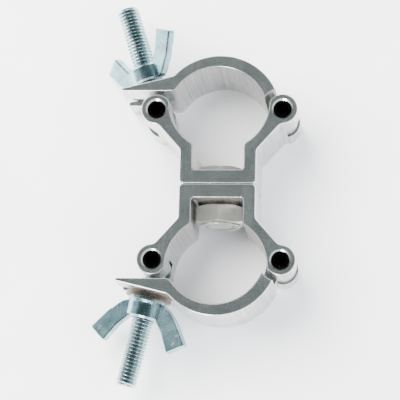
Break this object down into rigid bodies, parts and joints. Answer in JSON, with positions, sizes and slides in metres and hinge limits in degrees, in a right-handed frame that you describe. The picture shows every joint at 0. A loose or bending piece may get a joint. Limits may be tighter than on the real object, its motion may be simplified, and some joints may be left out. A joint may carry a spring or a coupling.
{
  "type": "swivel pipe clamp",
  "caption": "Two hinged pipe clamps joined foot to foot by a swivel bolt, each closed by a swing bolt and wing nut, to hold two round tubes at any angle.",
  "frame": {"origin": "tube axis of clamp a, half way along its width", "axes": "+Z along the tube of clamp a, +Y from the swivel joint towards the jaw of clamp a, +X from the swing bolts to the hinges"},
  "size_m": [0.0725, 0.1381, 0.03],
  "materials": {
    "extruded_aluminium": "satin",
    "zinc_plated_steel": "bright",
    "washer_steel": "satin",
    "black_oxide_steel": "satin",
    "nylon": "matte"
  },
  "bodies": {
    "clamp_a": {"saddle_a": "extruded_aluminium", "hinge_pin_a": "black_oxide_steel", "eyebolt_pin_a": "black_oxide_steel", "swivel_bolt": "zinc_plated_steel"},
    "clamp_b": {"saddle_b": "extruded_aluminium", "hinge_pin_b": "black_oxide_steel", "eyebolt_pin_b": "black_oxide_steel", "swivel_nut_washer": "washer_steel", "lock_nut": "zinc_plated_steel", "lock_nut_insert": "nylon"},
    "swing_bolt_a": {"eyebolt_a": "zinc_plated_steel"},
    "hinged_jaw_a": {"jaw_a": "extruded_aluminium"},
    "sliding_washer_a": {"eyebolt_washer_a": "washer_steel"},
    "turning_nut_a": {"wing_nut_a": "zinc_plated_steel"},
    "swing_bolt_b": {"eyebolt_b": "zinc_plated_steel"},
    "hinged_jaw_b": {"jaw_b": "extruded_aluminium"},
    "sliding_washer_b": {"eyebolt_washer_b": "washer_steel"},
    "turning_nut_b": {"wing_nut_b": "zinc_plated_steel"}
  },
  "joints": [
    {"name": "swivel", "type": "hinge", "parent": "clamp_a", "child": "clamp_b", "pos_m": [0, -0.02915, 0], "axis": [0, 1, 0], "continuous": true},
    {"name": "swing_a", "type": "hinge", "parent": "clamp_a", "child": "swing_bolt_a", "pos_m": [-0.022, -0.0026, 0], "axis": [0, 0, 1], "range_deg": [0, 60]},
    {"name": "jaw_hinge_a", "type": "hinge", "parent": "clamp_a", "child": "hinged_jaw_a", "pos_m": [0.022, -0.0026, 0], "axis": [0, 0, -1], "range_deg": [0, 18]},
    {"name": "washer_slide_a", "type": "slide", "parent": "swing_bolt_a", "child": "sliding_washer_a", "axis": [-0.314, 0.9494, 0], "range_m": [0, 0.026]},
    {"name": "nut_spin_a", "type": "hinge", "parent": "sliding_washer_a", "child": "turning_nut_a", "pos_m": [-0.022, -0.0026, 0], "axis": [-0.314, 0.9494, 0], "range_deg": [0, 7488]},
    {"name": "swing_b", "type": "hinge", "parent": "clamp_b", "child": "swing_bolt_b", "pos_m": [-0.022, -0.0557, 0], "axis": [0, 0, -1], "range_deg": [0, 60]},
    {"name": "jaw_hinge_b", "type": "hinge", "parent": "clamp_b", "child": "hinged_jaw_b", "pos_m": [0.022, -0.0557, 0], "axis": [0, 0, 1], "range_deg": [0, 18]},
    {"name": "washer_slide_b", "type": "slide", "parent": "swing_bolt_b", "child": "sliding_washer_b", "axis": [-0.225, -0.9744, 0], "range_m": [0, 0.026]},
    {"name": "nut_spin_b", "type": "hinge", "parent": "sliding_washer_b", "child": "turning_nut_b", "pos_m": [-0.022, -0.0557, 0], "axis": [-0.225, -0.9744, 0], "range_deg": [0, 7488]}
  ],
  "couplings": [
    {"joint": "jaw_hinge_a", "follows": "swing_a", "ratio": 0.3},
    {"joint": "washer_slide_a", "follows": "swing_a", "m_per_rad": 0.024828},
    {"joint": "nut_spin_a", "follows": "swing_a", "ratio": 124.8},
    {"joint": "jaw_hinge_b", "follows": "swing_b", "ratio": 0.3},
    {"joint": "washer_slide_b", "follows": "swing_b", "m_per_rad": 0.024828},
    {"joint": "nut_spin_b", "follows": "swing_b", "ratio": 124.8}
  ]
}
